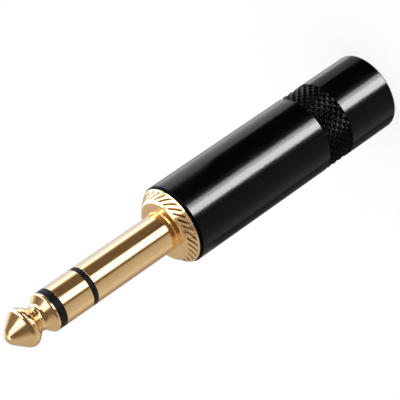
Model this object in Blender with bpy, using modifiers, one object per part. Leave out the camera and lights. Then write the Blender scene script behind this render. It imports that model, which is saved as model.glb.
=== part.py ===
"""Stereo jack plug: three gold-plated contacts on one axis, and a black shell that screws on from behind.

The plug stands on the shell's rear face with its tip up. The origin is the centre of that face, and
+Z runs along the plug's axis to the tip. Every size is in metres, written as millimetres times MM.
"""

from math import acos, atan2, cos, pi, radians, sin, sqrt, tan

import bmesh
import bpy
from mathutils import Matrix, Vector

MM = 0.001

# Facets round the axis
CONTACT_FACETS = 60
SHELL_FACETS = 66
LINER_FACETS = 48
WASHER_FACETS = 36

# Shell
SHELL_LENGTH = 42.2 * MM
SHELL_RADIUS = 6.5 * MM
SHELL_WALL_SHARE = 0.154
SHELL_FRONT_CHAMFER = 0.28 * MM
SHELL_REAR_ROUND = 0.3 * MM
SHELL_ENTRY_CHAMFER = 0.2 * MM
REAR_WALL = 1.6 * MM
CABLE_HOLE_RADIUS = 3.75 * MM
CABLE_HOLE_CHAMFER = 0.3 * MM
GRIP_BOTTOM = 9.73 * MM
GRIP_LENGTH = 5.12 * MM
GRIP_ROWS = 9
GRIP_DEPTH = 0.2 * MM

# Contact shaft
SHAFT_RADIUS = 3.175 * MM
SLEEVE_LENGTH = 15.65 * MM
RING_INSULATOR_WIDTH = 0.9 * MM
RING_WIDTH = 5.05 * MM
TIP_INSULATOR_WIDTH = 1.28 * MM

# Tip: nose, cone, crest, groove and the short land at its foot
TIP_LENGTH = 7.64 * MM
TIP_NOSE_RADIUS = 1.7 * MM
TIP_CONE_HALF_ANGLE = radians(39.0)
TIP_CREST_PROUD = 0.375 * MM
TIP_CREST_ROUND = 1.25 * MM
TIP_GROOVE_DEPTH = 1.63 * MM
TIP_GROOVE_RISE = 1.63 * MM
TIP_GROOVE_ROUND = 1.2 * MM
TIP_LAND = 0.4 * MM
TIP_SHOULDER_ROUND = 0.5 * MM

# Collar between the shaft and the shell
COLLAR_INSET = 0.25 * MM
COLLAR_HEIGHT = 1.9 * MM
COLLAR_TAPER = 1.45 * MM
COLLAR_RIM = 0.25 * MM
COLLAR_BEVEL = 0.35 * MM
FOOT_FILLET = 0.2 * MM
COLLAR_TEETH = 30
COLLAR_TOOTH_DEPTH = 0.28 * MM
COLLAR_TOOTH_ROWS = 5
COLLAR_TEETH_LEAD = 2.0

# Thread, boss and staked neck behind the collar. A share is a part of the room that lies between
# the sleeve's bore and the shell's bore, which the neck, the clamp and the liner divide among them
THREAD_LENGTH = 5.0 * MM
THREAD_CLEARANCE = 0.05 * MM
THREAD_CHAMFER = 0.3 * MM
THREAD_RELIEF_DEPTH = 0.5 * MM
THREAD_RELIEF_WIDTH = 0.6 * MM
BOSS_STEP_SHARE = 0.21
BOSS_LENGTH = 1.5 * MM
NECK_WALL_SHARE = 0.2
NECK_LIP_SHARE = 0.14
NECK_LIP_HEIGHT = 0.3 * MM
LIP_DRAFT = 0.1 * MM

# Rod and tubes one inside the other
FIT = 0.03 * MM
ROD_RADIUS = 0.85 * MM
TIP_TUBE_WALL = 0.37 * MM
RING_TUBE_WALL = 0.47 * MM
RING_INSULATOR_TUBE_WALL = 0.42 * MM
RING_LIP_WIDTH = 0.4 * MM
RING_LIP_HEIGHT = 0.25 * MM
ROD_HEAD_RADIUS = 1.45 * MM
ROD_HEAD_SHOULDER = 1.23 * MM
ROD_HEAD_FLAT = 0.72 * MM
ROD_HEAD_HEIGHT = 0.6 * MM
ROD_HEAD_SHOULDER_HEIGHT = 0.36 * MM

# Solder lugs and their washers
WASHER_THICKNESS = 0.8 * MM
RING_WASHER_CLEARANCE = 0.15 * MM
TIP_WASHER_CLEARANCE = 0.25 * MM
LUG_THICKNESS = 0.5 * MM
LUG_BEND_ROUND = 0.35 * MM
LUG_HOLE_RADIUS = 0.6 * MM
LUG_HOLE_FROM_END = 1.5 * MM
LUG_HOLE_CUT = 2.0 * MM
LUG_HOLE_FACETS = 12
RING_LUG_MARGIN = 0.65 * MM
RING_LUG_CLEARANCE = 0.1 * MM
RING_LUG_WIDTH = 2.6 * MM
RING_LUG_LENGTH = 8.6 * MM
TIP_LUG_MARGIN = 0.55 * MM
TIP_LUG_OVERHANG = 0.15 * MM
TIP_LUG_WIDTH = 2.4 * MM
TIP_LUG_LENGTH = 7.2 * MM

# Cable clamp
CLAMP_CLEARANCE = 0.1 * MM
CLAMP_PLATE_THICKNESS = 0.8 * MM
CLAMP_PLATE_EDGE = 0.15 * MM
CLAMP_SHEET_SHARE = 0.21
CLAMP_STRAP_HALF_ANGLE = radians(26.0)
CLAMP_EAR_HALF_ANGLE = radians(125.0)
CLAMP_EAR_LENGTH = 8.5 * MM
CLAMP_EAR_CORNER = 2.0 * MM
CLAMP_SHOULDER = 2.2 * MM
CLAMP_LENGTH = 24.6 * MM
CLAMP_COLUMNS = 16
CLAMP_BITE = 0.4 * MM

# Liner
LINER_CLEARANCE = 0.15 * MM
LINER_WALL_SHARE = 0.15
LINER_END_PLAY = 0.3 * MM

# Heights of the seats, worked down and up from where the collar meets the shell
SEAT_Z = SHELL_LENGTH
FACE_Z = SEAT_Z + COLLAR_HEIGHT
SLEEVE_TOP_Z = FACE_Z + SLEEVE_LENGTH
RING_BOTTOM_Z = SLEEVE_TOP_Z + RING_INSULATOR_WIDTH
RING_TOP_Z = RING_BOTTOM_Z + RING_WIDTH
TIP_BOTTOM_Z = RING_TOP_Z + TIP_INSULATOR_WIDTH
NOSE_Z = TIP_BOTTOM_Z + TIP_LENGTH
THREAD_BOTTOM_Z = SEAT_Z - THREAD_RELIEF_WIDTH - THREAD_LENGTH
BOSS_BOTTOM_Z = THREAD_BOTTOM_Z - BOSS_LENGTH
PLATE_BOTTOM_Z = BOSS_BOTTOM_Z - CLAMP_PLATE_THICKNESS
SLEEVE_BOTTOM_Z = PLATE_BOTTOM_Z - NECK_LIP_HEIGHT
RING_WASHER_BOTTOM_Z = SLEEVE_BOTTOM_Z - WASHER_THICKNESS
RING_LUG_BOTTOM_Z = RING_WASHER_BOTTOM_Z - LUG_THICKNESS
RING_TUBE_BOTTOM_Z = RING_LUG_BOTTOM_Z - RING_LIP_HEIGHT
TIP_WASHER_BOTTOM_Z = RING_TUBE_BOTTOM_Z - WASHER_THICKNESS
TIP_LUG_BOTTOM_Z = TIP_WASHER_BOTTOM_Z - LUG_THICKNESS
ROD_BOTTOM_Z = TIP_LUG_BOTTOM_Z - ROD_HEAD_HEIGHT

# Radii of the rod's nest of tubes
TIP_TUBE_BORE = ROD_RADIUS + FIT
TIP_TUBE_RADIUS = TIP_TUBE_BORE + TIP_TUBE_WALL
RING_TUBE_BORE = TIP_TUBE_RADIUS + FIT
RING_TUBE_RADIUS = RING_TUBE_BORE + RING_TUBE_WALL
RING_INSULATOR_BORE = RING_TUBE_RADIUS + FIT
RING_INSULATOR_TUBE_RADIUS = RING_INSULATOR_BORE + RING_INSULATOR_TUBE_WALL
SLEEVE_BORE = RING_INSULATOR_TUBE_RADIUS + FIT

# Radii that follow the shaft
TIP_CREST_RADIUS = SHAFT_RADIUS + TIP_CREST_PROUD
TIP_GROOVE_RADIUS = SHAFT_RADIUS - TIP_GROOVE_DEPTH

# Radii and walls that follow the shell
COLLAR_RADIUS = SHELL_RADIUS - COLLAR_INSET
COLLAR_FACE_RADIUS = COLLAR_RADIUS - COLLAR_TAPER
SHELL_BORE = SHELL_RADIUS * (1 - SHELL_WALL_SHARE)
THREAD_RADIUS = SHELL_BORE - THREAD_CLEARANCE
REAR_ROOM = SHELL_BORE - SLEEVE_BORE
NECK_RADIUS = SLEEVE_BORE + REAR_ROOM * NECK_WALL_SHARE
NECK_LIP_RADIUS = NECK_RADIUS + REAR_ROOM * NECK_LIP_SHARE
BOSS_RADIUS = NECK_RADIUS + REAR_ROOM * BOSS_STEP_SHARE
LINER_RADIUS = SHELL_BORE - LINER_CLEARANCE
LINER_BORE = LINER_RADIUS - REAR_ROOM * LINER_WALL_SHARE
CLAMP_SHEET = REAR_ROOM * CLAMP_SHEET_SHARE
CLAMP_PLATE_RADIUS = LINER_BORE - CLAMP_CLEARANCE
CLAMP_BORE_RADIUS = CLAMP_PLATE_RADIUS - CLAMP_PLATE_EDGE - CLAMP_SHEET
RING_WASHER_RADIUS = CLAMP_BORE_RADIUS - RING_WASHER_CLEARANCE
RING_LUG_RADIUS = RING_WASHER_RADIUS - RING_LUG_MARGIN
RING_LUG_REACH = CLAMP_BORE_RADIUS - RING_LUG_CLEARANCE
TIP_WASHER_RADIUS = RING_LUG_REACH - LUG_THICKNESS - TIP_WASHER_CLEARANCE
TIP_LUG_RADIUS = TIP_WASHER_RADIUS - TIP_LUG_MARGIN
TIP_LUG_REACH = TIP_WASHER_RADIUS + TIP_LUG_OVERHANG

# Finishes: colour, roughness, metallic
GOLD = ((0.80, 0.54, 0.24), 0.12, 1.0)
TIN = ((0.62, 0.60, 0.55), 0.3, 1.0)
BLACK_COAT = ((0.006, 0.006, 0.007), 0.3, 0.0)
BLACK_PLASTIC = ((0.012, 0.013, 0.016), 0.35, 0.0)
BROWN_BOARD = ((0.20, 0.10, 0.05), 0.5, 0.0)
MILKY_PLASTIC = ((0.55, 0.55, 0.52), 0.45, 0.0)

# Small numbers for the meshes
MERGE = 0.001 * MM
ARC_STEPS = 4
SMOOTH_ANGLE = radians(35.0)

parts = None
cutters = None


def start_scene():
    """Clear the scene and make the two collections."""
    global parts, cutters
    for obj in list(bpy.data.objects):
        bpy.data.objects.remove(obj, do_unlink=True)
    parts = bpy.data.collections.new("stereo_jack_plug")
    cutters = bpy.data.collections.new("cutters")
    bpy.context.scene.collection.children.link(parts)
    bpy.context.scene.collection.children.link(cutters)


def finish_of(name, finish):
    """A Principled material of one finish, for one piece."""
    colour, roughness, metallic = finish
    material = bpy.data.materials.new(name)
    material.use_nodes = True
    shader = material.node_tree.nodes["Principled BSDF"]
    shader.inputs["Base Color"].default_value = (*colour, 1.0)
    shader.inputs["Roughness"].default_value = roughness
    shader.inputs["Metallic"].default_value = metallic
    return material


def new_object(name, mesh, material):
    obj = bpy.data.objects.new(name, mesh)
    parts.objects.link(obj)
    obj.data.materials.append(material)
    return obj


def as_cutter(obj):
    """Keep an object out of the finished part: it only shapes others."""
    parts.objects.unlink(obj)
    cutters.objects.link(obj)
    obj.hide_render = True
    obj.display_type = "WIRE"


def rounded(corners, rounds):
    """An outline through corners (radius, height), each with its own fillet radius, 0 for a sharp one."""
    points = [Vector(corners[0])]
    for before, corner, after, fillet in zip(corners, corners[1:], corners[2:], rounds[1:]):
        corner = Vector(corner)
        if fillet == 0:
            points.append(corner)
            continue
        back = (Vector(before) - corner).normalized()
        ahead = (Vector(after) - corner).normalized()
        half = acos(max(-1.0, min(1.0, back.dot(ahead)))) / 2
        start = corner + back * (fillet / tan(half))
        end = corner + ahead * (fillet / tan(half))
        centre = corner + (back + ahead).normalized() * (fillet / sin(half))
        first = atan2(start.y - centre.y, start.x - centre.x)
        sweep = atan2(end.y - centre.y, end.x - centre.x) - first
        sweep = (sweep + pi) % (2 * pi) - pi
        for step in range(ARC_STEPS + 1):
            angle = first + sweep * step / ARC_STEPS
            points.append(centre + fillet * Vector((cos(angle), sin(angle))))
    points.append(Vector(corners[-1]))
    return points


def turned(name, outline, facets, material, closed=True):
    """Turn an outline of (radius, height) points round Z. It runs down the outer side."""
    mesh = bpy.data.meshes.new(name)
    points = [(radius, 0.0, height) for radius, height in outline]
    edges = [(i, i + 1) for i in range(len(points) - 1)]
    if closed:
        edges.append((len(points) - 1, 0))
    mesh.from_pydata(points, edges, [])
    obj = new_object(name, mesh, material)
    screw = obj.modifiers.new("turn", "SCREW")
    screw.axis = "Z"
    screw.angle = 2 * pi
    screw.steps = facets
    screw.render_steps = facets
    screw.use_merge_vertices = True
    screw.merge_threshold = MERGE
    return obj


def freeze(obj):
    """Replace an object's mesh by its evaluated form and drop its modifiers."""
    bpy.context.view_layer.update()
    depsgraph = bpy.context.evaluated_depsgraph_get()
    mesh = bpy.data.meshes.new_from_object(obj.evaluated_get(depsgraph))
    obj.modifiers.clear()
    obj.data = mesh


def combine(obj, other, operation):
    """Cut or join another object into this one."""
    as_cutter(other)
    boolean = obj.modifiers.new(operation.lower(), "BOOLEAN")
    boolean.operation = operation
    boolean.solver = "EXACT"
    boolean.object = other


def smooth(obj):
    """Shade round faces smooth and keep the real edges sharp."""
    obj.data.shade_smooth()
    obj.data.set_sharp_from_angle(angle=SMOOTH_ANGLE)


def tube(name, outer, inner, top, bottom, facets, material):
    """A plain ring or tube."""
    outline = [(outer, top), (outer, bottom), (inner, bottom), (inner, top)]
    return turned(name, outline, facets, material)


def make_tip_contact():
    """The pointed head, its groove and shoulder, on the long rod that is riveted at its end."""
    cone = TIP_CONE_HALF_ANGLE
    nose_centre = NOSE_Z - TIP_NOSE_RADIUS
    nose = []
    for step in range(ARC_STEPS):
        angle = (pi / 2 - cone) * step / ARC_STEPS
        nose.append((TIP_NOSE_RADIUS * sin(angle), nose_centre + TIP_NOSE_RADIUS * cos(angle)))
    cone_start = (TIP_NOSE_RADIUS * cos(cone), nose_centre + TIP_NOSE_RADIUS * sin(cone))
    crest_z = cone_start[1] - (TIP_CREST_RADIUS - cone_start[0]) / tan(cone)
    shoulder_z = TIP_BOTTOM_Z + TIP_LAND
    corners = [
        cone_start,
        (TIP_CREST_RADIUS, crest_z),
        (TIP_GROOVE_RADIUS, shoulder_z + TIP_GROOVE_RISE),
        (SHAFT_RADIUS, shoulder_z),
        (SHAFT_RADIUS, TIP_BOTTOM_Z),
        (ROD_RADIUS, TIP_BOTTOM_Z),
    ]
    rounds = [0, TIP_CREST_ROUND, TIP_GROOVE_ROUND, TIP_SHOULDER_ROUND, 0, 0]
    head = rounded(corners, rounds)
    rivet = [
        (ROD_RADIUS, TIP_LUG_BOTTOM_Z),
        (ROD_HEAD_RADIUS, TIP_LUG_BOTTOM_Z),
        (ROD_HEAD_SHOULDER, TIP_LUG_BOTTOM_Z - ROD_HEAD_SHOULDER_HEIGHT),
        (ROD_HEAD_FLAT, ROD_BOTTOM_Z),
        (0.0, ROD_BOTTOM_Z),
    ]
    gold = finish_of("tip_gold", GOLD)
    return turned("tip_contact", nose + head + rivet, CONTACT_FACETS, gold, closed=False)


def make_tip_insulator():
    """The front black ring and the thin tube behind it, round the tip rod."""
    outline = [
        (SHAFT_RADIUS, TIP_BOTTOM_Z),
        (SHAFT_RADIUS, RING_TOP_Z),
        (TIP_TUBE_RADIUS, RING_TOP_Z),
        (TIP_TUBE_RADIUS, RING_TUBE_BOTTOM_Z),
        (TIP_TUBE_BORE, RING_TUBE_BOTTOM_Z),
        (TIP_TUBE_BORE, TIP_BOTTOM_Z),
    ]
    plastic = finish_of("tip_insulator_plastic", BLACK_PLASTIC)
    return turned("tip_insulator", outline, CONTACT_FACETS, plastic)


def make_ring_contact():
    """The gold band between the black rings, on a tube staked over behind the ring lug."""
    outline = [
        (SHAFT_RADIUS, RING_TOP_Z),
        (SHAFT_RADIUS, RING_BOTTOM_Z),
        (RING_TUBE_RADIUS, RING_BOTTOM_Z),
        (RING_TUBE_RADIUS, RING_LUG_BOTTOM_Z),
        (RING_TUBE_RADIUS + RING_LIP_WIDTH, RING_LUG_BOTTOM_Z),
        (RING_TUBE_RADIUS + RING_LIP_WIDTH - LIP_DRAFT, RING_TUBE_BOTTOM_Z),
        (RING_TUBE_BORE, RING_TUBE_BOTTOM_Z),
        (RING_TUBE_BORE, RING_TOP_Z),
    ]
    return turned("ring_contact", outline, CONTACT_FACETS, finish_of("ring_gold", GOLD))


def make_ring_insulator():
    """The rear black ring and the tube behind it, round the ring contact's tube."""
    outline = [
        (SHAFT_RADIUS, RING_BOTTOM_Z),
        (SHAFT_RADIUS, SLEEVE_TOP_Z),
        (RING_INSULATOR_TUBE_RADIUS, SLEEVE_TOP_Z),
        (RING_INSULATOR_TUBE_RADIUS, SLEEVE_BOTTOM_Z),
        (RING_INSULATOR_BORE, SLEEVE_BOTTOM_Z),
        (RING_INSULATOR_BORE, RING_BOTTOM_Z),
    ]
    plastic = finish_of("ring_insulator_plastic", BLACK_PLASTIC)
    return turned("ring_insulator", outline, CONTACT_FACETS, plastic)


def tooth_heights():
    """Heights of the rows of the collar's slanting teeth, from the top one down."""
    top = FACE_Z - COLLAR_BEVEL
    bottom = SEAT_Z + COLLAR_RIM
    return [top + (bottom - top) * row / COLLAR_TOOTH_ROWS for row in range(COLLAR_TOOTH_ROWS + 1)]


def collar_radius(height):
    """Radius of the collar's cone at a height between its rim and its bevel."""
    heights = tooth_heights()
    share = (heights[0] - height) / (heights[0] - heights[-1])
    small = COLLAR_FACE_RADIUS + COLLAR_BEVEL
    return small + (COLLAR_RADIUS - small) * share


def make_sleeve_body():
    """Shaft, knurled collar, thread and the neck that holds the clamp, turned from one bar."""
    heights = tooth_heights()
    relief_radius = THREAD_RADIUS - THREAD_RELIEF_DEPTH
    thread_top = SEAT_Z - THREAD_RELIEF_WIDTH
    front = [(SHAFT_RADIUS, SLEEVE_TOP_Z), (SHAFT_RADIUS, FACE_Z), (COLLAR_FACE_RADIUS, FACE_Z)]
    outline = rounded(front, [0, FOOT_FILLET])
    outline += [(collar_radius(height), height) for height in heights]
    outline += [
        (COLLAR_RADIUS, SEAT_Z),
        (relief_radius, SEAT_Z),
        (relief_radius, thread_top),
        (THREAD_RADIUS, thread_top - THREAD_CHAMFER),
        (THREAD_RADIUS, THREAD_BOTTOM_Z + THREAD_CHAMFER),
        (THREAD_RADIUS - THREAD_CHAMFER, THREAD_BOTTOM_Z),
        (BOSS_RADIUS, THREAD_BOTTOM_Z),
        (BOSS_RADIUS, BOSS_BOTTOM_Z),
        (NECK_RADIUS, BOSS_BOTTOM_Z),
        (NECK_RADIUS, PLATE_BOTTOM_Z),
        (NECK_LIP_RADIUS, PLATE_BOTTOM_Z),
        (NECK_LIP_RADIUS - LIP_DRAFT, SLEEVE_BOTTOM_Z),
        (SLEEVE_BORE, SLEEVE_BOTTOM_Z),
        (SLEEVE_BORE, SLEEVE_TOP_Z),
    ]
    obj = turned("sleeve_body", outline, CONTACT_FACETS, finish_of("sleeve_gold", GOLD))
    freeze(obj)
    slant_teeth(obj.data, heights)
    return obj


def slant_teeth(mesh, heights):
    """Sink every second column between the collar's rim and bevel, and wind the columns round the cone.

    The columns wind by a whole number of facets, so the shaft above them keeps its place.
    """
    columns_per_tooth = CONTACT_FACETS // COLLAR_TEETH
    facet = 2 * pi / CONTACT_FACETS
    lead = round(COLLAR_TEETH_LEAD * columns_per_tooth) * facet
    top, bottom = heights[0], heights[-1]
    for vertex in mesh.vertices:
        x, y, z = vertex.co
        radius = sqrt(x * x + y * y)
        angle = atan2(y, x)
        column = round(angle / facet)
        in_bore = radius < SLEEVE_BORE + MERGE
        share = 1.0 if in_bore else max(0.0, min(1.0, (z - bottom) / (top - bottom)))
        on_cone = bottom + MERGE < z < top - MERGE and not in_bore
        if on_cone and column % columns_per_tooth:
            radius -= COLLAR_TOOTH_DEPTH
        angle += lead * share
        vertex.co = (radius * cos(angle), radius * sin(angle), z)


def make_shell():
    """The barrel: knurled grip near the rear, cable hole in the rear wall, thread at the front."""
    grip_top = GRIP_BOTTOM + GRIP_LENGTH
    rows = [grip_top - GRIP_LENGTH * row / GRIP_ROWS for row in range(GRIP_ROWS + 1)]
    outline = [
        (SHELL_RADIUS - SHELL_FRONT_CHAMFER, SHELL_LENGTH),
        (SHELL_RADIUS, SHELL_LENGTH - SHELL_FRONT_CHAMFER),
    ]
    outline += [(SHELL_RADIUS, height) for height in rows]
    rear = rounded(
        [(SHELL_RADIUS, GRIP_BOTTOM), (SHELL_RADIUS, 0.0), (CABLE_HOLE_RADIUS, 0.0)],
        [0, SHELL_REAR_ROUND],
    )
    outline += [tuple(point) for point in rear[1:-1]]
    outline += [
        (CABLE_HOLE_RADIUS + CABLE_HOLE_CHAMFER, 0.0),
        (CABLE_HOLE_RADIUS, CABLE_HOLE_CHAMFER),
        (CABLE_HOLE_RADIUS, REAR_WALL),
        (SHELL_BORE, REAR_WALL),
        (SHELL_BORE, SHELL_LENGTH - SHELL_ENTRY_CHAMFER),
        (SHELL_BORE + SHELL_ENTRY_CHAMFER, SHELL_LENGTH),
    ]
    obj = turned("shell", outline, SHELL_FACETS, finish_of("shell_black", BLACK_COAT))
    freeze(obj)
    cross_knurl(obj.data, rows)
    return obj


def cross_knurl(mesh, rows):
    """Raise pyramids in a checkerboard.

    Every second point sinks, and each quad folds along the line between its two low corners.
    """
    facet = 2 * pi / SHELL_FACETS
    pitch = rows[0] - rows[1]
    shape = bmesh.new()
    shape.from_mesh(mesh)
    low = set()
    for vertex in shape.verts:
        x, y, z = vertex.co
        radius = sqrt(x * x + y * y)
        inside = rows[-1] + MERGE < z < rows[0] - MERGE
        if radius < SHELL_RADIUS - MERGE or not inside:
            continue
        row = round((rows[0] - z) / pitch)
        column = round(atan2(y, x) / facet)
        if (row + column) % 2:
            shrink = (SHELL_RADIUS - GRIP_DEPTH) / radius
            vertex.co = (x * shrink, y * shrink, z)
            low.add(vertex)
    for face in list(shape.faces):
        sunk = [vertex for vertex in face.verts if vertex in low]
        if len(face.verts) == 4 and len(sunk) == 2:
            bmesh.utils.face_split(face, sunk[0], sunk[1])
    shape.to_mesh(mesh)
    shape.free()


def make_liner():
    """The loose plastic sleeve between the shell and the terminals."""
    top = THREAD_BOTTOM_Z - LINER_END_PLAY
    finish = finish_of("liner_plastic", MILKY_PLASTIC)
    return tube("insulating_liner", LINER_RADIUS, LINER_BORE, top, REAR_WALL, LINER_FACETS, finish)


def make_washers():
    """The two insulating washers that keep the lugs off each other and off the sleeve."""
    ring_washer = tube(
        "ring_lug_insulator",
        RING_WASHER_RADIUS,
        RING_INSULATOR_BORE,
        SLEEVE_BOTTOM_Z,
        RING_WASHER_BOTTOM_Z,
        WASHER_FACETS,
        finish_of("ring_washer_board", BROWN_BOARD),
    )
    tip_washer = tube(
        "tip_lug_insulator",
        TIP_WASHER_RADIUS,
        TIP_TUBE_BORE,
        RING_TUBE_BOTTOM_Z,
        TIP_WASHER_BOTTOM_Z,
        WASHER_FACETS,
        finish_of("tip_washer_board", BROWN_BOARD),
    )
    return [ring_washer, tip_washer]


def bent_tab(name, top, start, reach, width, length, material):
    """A strip that runs out under a washer along +Y and bends down into a tail."""
    middle = LUG_THICKNESS / 2
    bend = LUG_BEND_ROUND + middle
    corners = [(start, top - middle), (reach - middle, top - middle), (reach - middle, top - length)]
    path = rounded(corners, [0, bend])
    shape = bmesh.new()
    rails = []
    for side in (-width / 2, width / 2):
        rails.append([shape.verts.new((side, point[0], point[1])) for point in path])
    for left, right, next_right, next_left in zip(rails[0], rails[1], rails[1][1:], rails[0][1:]):
        shape.faces.new((left, right, next_right, next_left))
    mesh = bpy.data.meshes.new(name)
    shape.to_mesh(mesh)
    shape.free()
    obj = new_object(name, mesh, material)
    sheet = obj.modifiers.new("sheet", "SOLIDIFY")
    sheet.thickness = LUG_THICKNESS
    sheet.offset = 0.0
    sheet.use_even_offset = True
    freeze(obj)
    return obj


def solder_hole(name, reach, height):
    """A cutter for the hole in a tab's tail."""
    bpy.ops.mesh.primitive_cylinder_add(
        vertices=LUG_HOLE_FACETS,
        radius=LUG_HOLE_RADIUS,
        depth=LUG_HOLE_CUT,
        location=(0.0, reach - LUG_THICKNESS / 2, height),
        rotation=(pi / 2, 0.0, 0.0),
    )
    obj = bpy.context.object
    obj.name = name
    for collection in list(obj.users_collection):
        collection.objects.unlink(obj)
    parts.objects.link(obj)
    return obj


def make_lug(name, radius, bore, top, reach, width, length, turn, material):
    """A solder lug: a ring plate with one bent tab, turned about Z to its side."""
    bottom = top - LUG_THICKNESS
    plate = tube(name, radius, bore, top, bottom, WASHER_FACETS, material)
    tab = bent_tab(name + "_tab", top, (bore + radius) / 2, reach, width, length, material)
    hole = solder_hole(name + "_hole", reach, top - length + LUG_HOLE_FROM_END)
    for obj in (plate, tab, hole):
        obj.matrix_world = Matrix.Rotation(turn, 4, "Z") @ obj.matrix_world
    combine(plate, tab, "UNION")
    combine(plate, hole, "DIFFERENCE")
    return plate


def make_lugs():
    """The ring's lug on the +Y side and the tip's lug on the -Y side."""
    ring_lug = make_lug(
        "ring_lug",
        RING_LUG_RADIUS,
        RING_INSULATOR_BORE,
        RING_WASHER_BOTTOM_Z,
        RING_LUG_REACH,
        RING_LUG_WIDTH,
        RING_LUG_LENGTH,
        0.0,
        finish_of("ring_lug_tin", TIN),
    )
    tip_lug = make_lug(
        "tip_lug",
        TIP_LUG_RADIUS,
        TIP_TUBE_BORE,
        TIP_WASHER_BOTTOM_Z,
        TIP_LUG_REACH,
        TIP_LUG_WIDTH,
        TIP_LUG_LENGTH,
        pi,
        finish_of("tip_lug_tin", TIN),
    )
    return [ring_lug, tip_lug]


def clamp_rows():
    """Heights and half angles of the clamp's sheet, from its plate down to the ends of its ears."""
    top = PLATE_BOTTOM_Z + CLAMP_BITE
    bottom = PLATE_BOTTOM_Z - CLAMP_LENGTH
    ear_top = bottom + CLAMP_EAR_LENGTH
    middle_radius = CLAMP_BORE_RADIUS + CLAMP_SHEET / 2
    rows = [(top, CLAMP_STRAP_HALF_ANGLE), (ear_top + CLAMP_SHOULDER, CLAMP_STRAP_HALF_ANGLE)]
    for step in range(1, ARC_STEPS + 1):
        share = step / ARC_STEPS
        ease = share * share * (3 - 2 * share)
        angle = CLAMP_STRAP_HALF_ANGLE + (CLAMP_EAR_HALF_ANGLE - CLAMP_STRAP_HALF_ANGLE) * ease
        rows.append((ear_top + CLAMP_SHOULDER * (1 - share), angle))
    rows.append((bottom + CLAMP_EAR_CORNER, CLAMP_EAR_HALF_ANGLE))
    for step in range(1, ARC_STEPS + 1):
        turn = (pi / 2) * step / ARC_STEPS
        narrowing = CLAMP_EAR_CORNER * (1 - cos(turn)) / middle_radius
        rows.append((bottom + CLAMP_EAR_CORNER * (1 - sin(turn)), CLAMP_EAR_HALF_ANGLE - narrowing))
    return rows


def make_clamp():
    """The sleeve terminal: a plate on the boss, a strap along -X and two open crimp ears round the cable."""
    material = finish_of("clamp_tin", TIN)
    middle_radius = CLAMP_BORE_RADIUS + CLAMP_SHEET / 2
    shape = bmesh.new()
    grid = []
    for height, half_angle in clamp_rows():
        line = []
        for column in range(CLAMP_COLUMNS + 1):
            angle = pi + half_angle * (2 * column / CLAMP_COLUMNS - 1)
            line.append(shape.verts.new((middle_radius * cos(angle), middle_radius * sin(angle), height)))
        grid.append(line)
    for upper, lower in zip(grid, grid[1:]):
        for column in range(CLAMP_COLUMNS):
            shape.faces.new((upper[column], lower[column], lower[column + 1], upper[column + 1]))
    mesh = bpy.data.meshes.new("cable_clamp_sheet")
    shape.to_mesh(mesh)
    shape.free()
    strap = new_object("cable_clamp_sheet", mesh, material)
    sheet = strap.modifiers.new("sheet", "SOLIDIFY")
    sheet.thickness = CLAMP_SHEET
    sheet.offset = 0.0
    sheet.use_even_offset = True
    freeze(strap)
    bore = NECK_RADIUS + FIT
    top, bottom = BOSS_BOTTOM_Z, PLATE_BOTTOM_Z
    plate = tube("cable_clamp", CLAMP_PLATE_RADIUS, bore, top, bottom, WASHER_FACETS, material)
    combine(plate, strap, "UNION")
    return plate


def build():
    """Make every piece of the plug."""
    start_scene()
    pieces = [
        make_shell(),
        make_liner(),
        make_sleeve_body(),
        make_ring_insulator(),
        make_ring_contact(),
        make_tip_insulator(),
        make_tip_contact(),
        make_clamp(),
    ]
    pieces += make_washers()
    pieces += make_lugs()
    for piece in pieces:
        if not piece.modifiers:
            smooth(piece)


build()
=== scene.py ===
# %% [markdown]
# # A stereo jack plug, dressed for the camera
#
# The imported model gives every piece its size, its place and the body that it moves with. This lesson
# gives the pieces their looks: finer turned forms for what shows, a finish for each piece, and a studio
# whose reflections make gold and black read as they do in the photograph. Sizes are written in
# millimetres and turned into metres with MM where Blender takes them. They are in the model's own frame,
# where the plug stands on its rear face with the tip up.

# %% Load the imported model
from math import acos, atan2, cos, floor, pi, radians, sin, sqrt, tan

import bmesh
import bpy
from mathutils import Matrix, Vector


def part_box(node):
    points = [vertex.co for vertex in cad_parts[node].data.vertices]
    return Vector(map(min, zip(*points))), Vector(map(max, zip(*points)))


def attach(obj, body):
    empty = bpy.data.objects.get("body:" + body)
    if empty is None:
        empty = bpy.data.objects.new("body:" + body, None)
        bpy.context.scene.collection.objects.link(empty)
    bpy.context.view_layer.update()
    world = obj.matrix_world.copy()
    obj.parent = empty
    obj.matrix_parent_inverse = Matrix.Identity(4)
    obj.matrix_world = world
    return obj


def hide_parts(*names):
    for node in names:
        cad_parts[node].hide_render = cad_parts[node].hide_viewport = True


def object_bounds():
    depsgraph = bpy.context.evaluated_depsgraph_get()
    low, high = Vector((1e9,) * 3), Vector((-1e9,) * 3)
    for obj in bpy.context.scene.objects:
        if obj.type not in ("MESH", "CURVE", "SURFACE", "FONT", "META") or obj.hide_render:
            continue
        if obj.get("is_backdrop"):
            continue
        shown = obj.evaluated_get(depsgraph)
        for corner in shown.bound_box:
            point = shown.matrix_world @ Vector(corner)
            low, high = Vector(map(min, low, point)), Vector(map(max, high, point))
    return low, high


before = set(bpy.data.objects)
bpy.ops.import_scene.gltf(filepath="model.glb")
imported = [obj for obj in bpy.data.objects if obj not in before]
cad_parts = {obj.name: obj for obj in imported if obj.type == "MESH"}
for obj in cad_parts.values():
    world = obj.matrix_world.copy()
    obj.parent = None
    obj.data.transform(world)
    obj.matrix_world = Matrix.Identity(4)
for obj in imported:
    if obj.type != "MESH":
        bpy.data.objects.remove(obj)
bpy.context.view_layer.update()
MM = 0.001

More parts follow.
